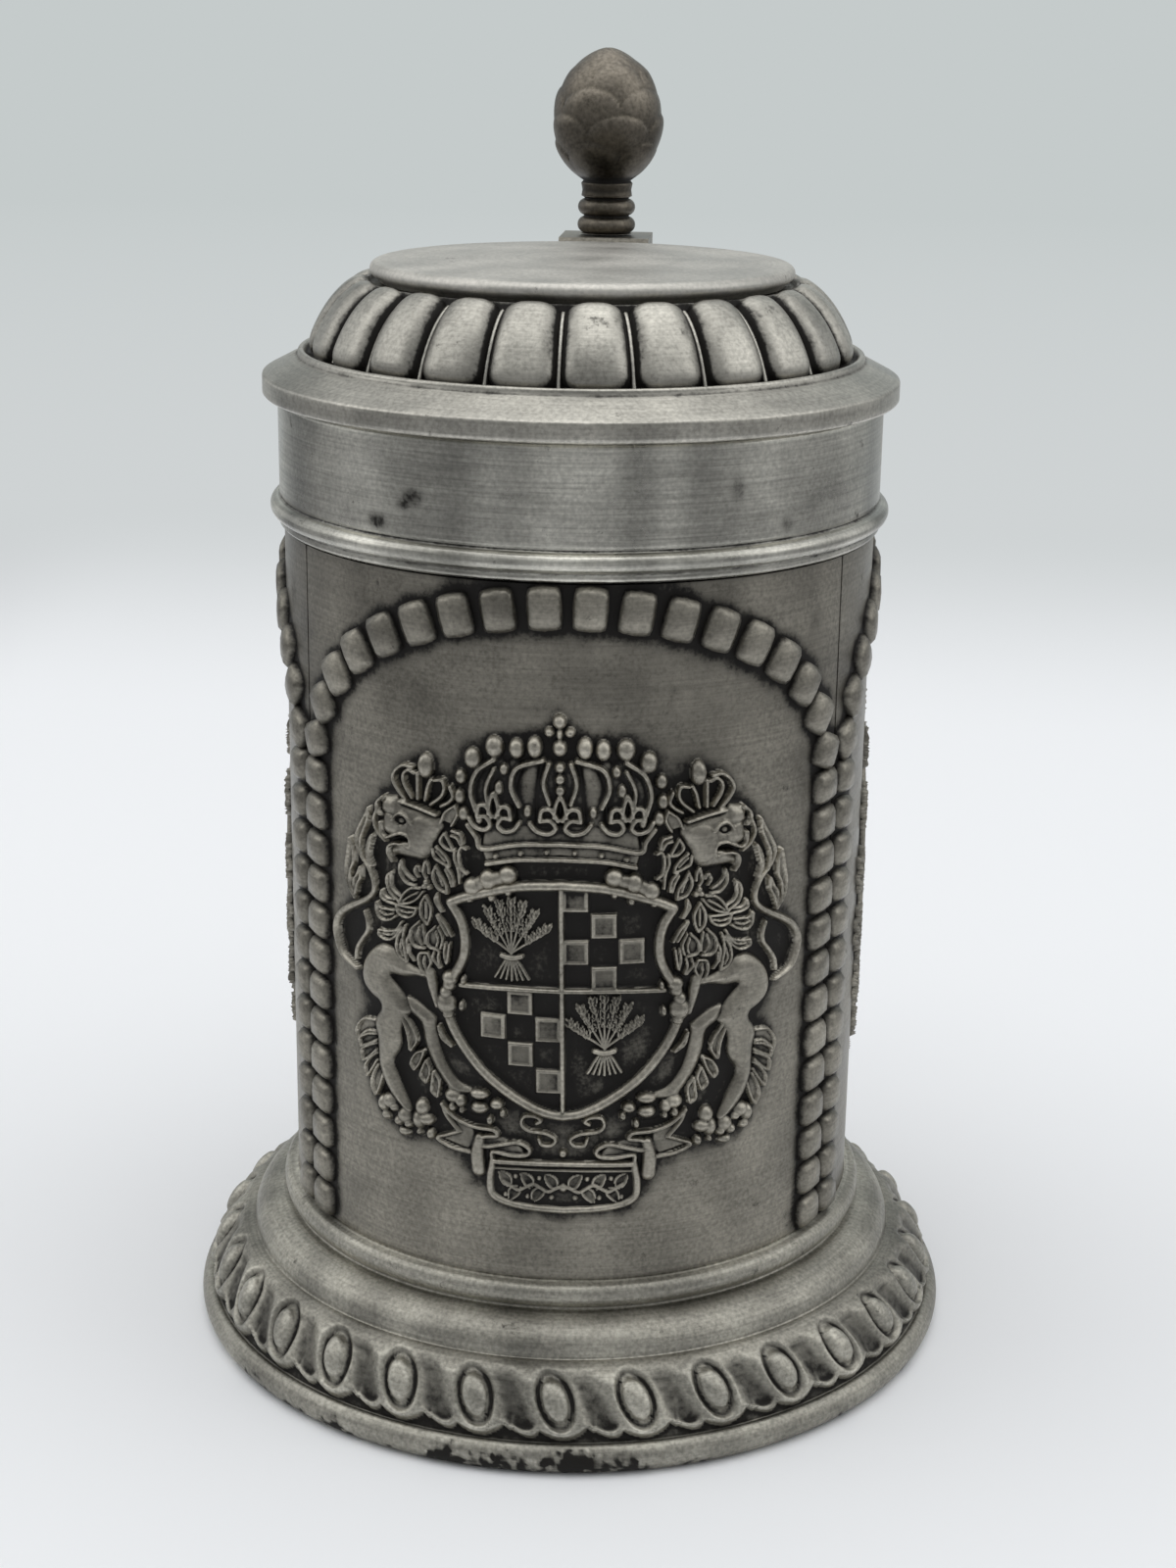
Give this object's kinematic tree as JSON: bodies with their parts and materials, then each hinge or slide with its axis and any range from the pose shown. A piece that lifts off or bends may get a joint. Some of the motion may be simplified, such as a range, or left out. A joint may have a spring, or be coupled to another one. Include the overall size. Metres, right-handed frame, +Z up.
{
  "type": "lidded pewter beer stein",
  "caption": "Lidded pewter beer stein: relief drum on a flared foot, gadrooned lid hinged on a C-shaped handle and raised by a pine-cone thumb lift.",
  "frame": {"origin": "on the drum's axis, at the underside of the base plate, 1 mm above the table plane z = 0", "axes": "+Z up along the drum's axis, +Y towards the handle and the hinge, front panel towards -Y"},
  "size_m": [0.1126, 0.1468, 0.1826],
  "materials": {
    "relief_pewter": "cast pewter relief, antiqued dark in the recesses, worn bright on the high points",
    "plain_pewter": "turned pewter, satin with fine level turning lines",
    "foot_pewter": "cast and turned pewter, antiqued, tarnished black along the lower rim",
    "lid_pewter": "cast pewter, satin, dark in the grooves",
    "handle_pewter": "cast pewter, satin",
    "pin_metal": "steel pin with peened heads",
    "thumb_pewter": "cast pewter with a brown patina"
  },
  "bodies": {
    "mug": {"front_stave": "relief_pewter", "left_stave": "relief_pewter", "right_stave": "relief_pewter", "base_plate": "plain_pewter", "rim_band": "plain_pewter", "foot_ring": "foot_pewter", "handle": "handle_pewter", "hinge_block": "handle_pewter", "hinge_pin": "pin_metal"},
    "lid": {"lid_shell": "lid_pewter", "lid_disc": "plain_pewter", "lid_strap": "handle_pewter", "thumb_lift": "thumb_pewter"}
  },
  "joints": [
    {"name": "lid_hinge", "type": "hinge", "parent": "mug", "child": "lid", "pos_m": [0, 0.0505, 0.145], "axis": [-1, 0, 0], "range_deg": [0, 95]}
  ]
}
